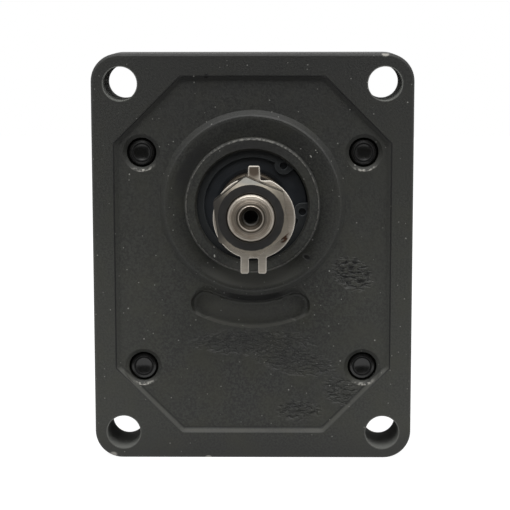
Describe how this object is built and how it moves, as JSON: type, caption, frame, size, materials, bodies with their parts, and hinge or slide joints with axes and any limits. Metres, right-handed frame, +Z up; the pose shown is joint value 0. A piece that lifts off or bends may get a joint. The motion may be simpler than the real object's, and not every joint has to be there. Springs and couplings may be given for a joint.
{
  "type": "external gear pump",
  "caption": "External gear pump with a rectangular four-bolt flange, round pilot, tapered keyed drive shaft and two threaded side ports.",
  "frame": {"origin": "on the drive shaft axis, in the plane of the mounting face", "axes": "+Y runs along the shaft from the mounting face into the pump, +Z is up, +X is to the right seen from the shaft end"},
  "size_m": [0.0872, 0.1384, 0.1114],
  "materials": {
    "black_paint": "satin black paint over a cast surface",
    "turned_steel": "turned bare steel with fine tool rings",
    "pressed_steel": "bare pressed sheet steel, slightly browned",
    "spring_steel": "dark phosphated spring steel",
    "dark_nut_steel": "dark oxide steel",
    "blackened_steel": "blackened steel",
    "block_aluminium": "machined",
    "bush_bronze": "rolled bronze",
    "black_rubber": "matte",
    "blue_rubber": "semi-matte dark blue",
    "backup_plastic": "matte"
  },
  "bodies": {
    "housing": {"front_flange": "black_paint", "pump_body": "black_paint", "rear_cover": "black_paint", "front_bearing_block": "block_aluminium", "rear_bearing_block": "block_aluminium", "drive_front_bush": "bush_bronze", "drive_rear_bush": "bush_bronze", "driven_front_bush": "bush_bronze", "driven_rear_bush": "bush_bronze", "front_body_seal": "black_rubber", "rear_body_seal": "black_rubber", "front_pressure_seal": "black_rubber", "rear_pressure_seal": "black_rubber", "front_backup_strip": "backup_plastic", "rear_backup_strip": "backup_plastic", "front_dowels": "turned_steel", "rear_dowels": "turned_steel", "shaft_seal_case": "pressed_steel", "shaft_seal_lip": "blue_rubber", "seal_garter_spring": "turned_steel", "seal_circlip": "spring_steel", "through_bolts": "blackened_steel", "bolt_washers": "blackened_steel"},
    "drive_shaft": {"drive_gear_shaft": "turned_steel", "woodruff_key": "turned_steel", "tab_washer": "pressed_steel", "shaft_nut": "dark_nut_steel"},
    "driven_gear": {"driven_gear_shaft": "turned_steel"}
  },
  "joints": [
    {"name": "drive_spin", "type": "hinge", "parent": "housing", "child": "drive_shaft", "pos_m": [0, 0, 0], "axis": [0, 1, 0], "continuous": true},
    {"name": "driven_spin", "type": "hinge", "parent": "housing", "child": "driven_gear", "pos_m": [0, 0.04845, -0.0312], "axis": [0, 1, 0], "continuous": true}
  ],
  "couplings": [
    {"joint": "driven_spin", "follows": "drive_spin", "ratio": -1}
  ]
}
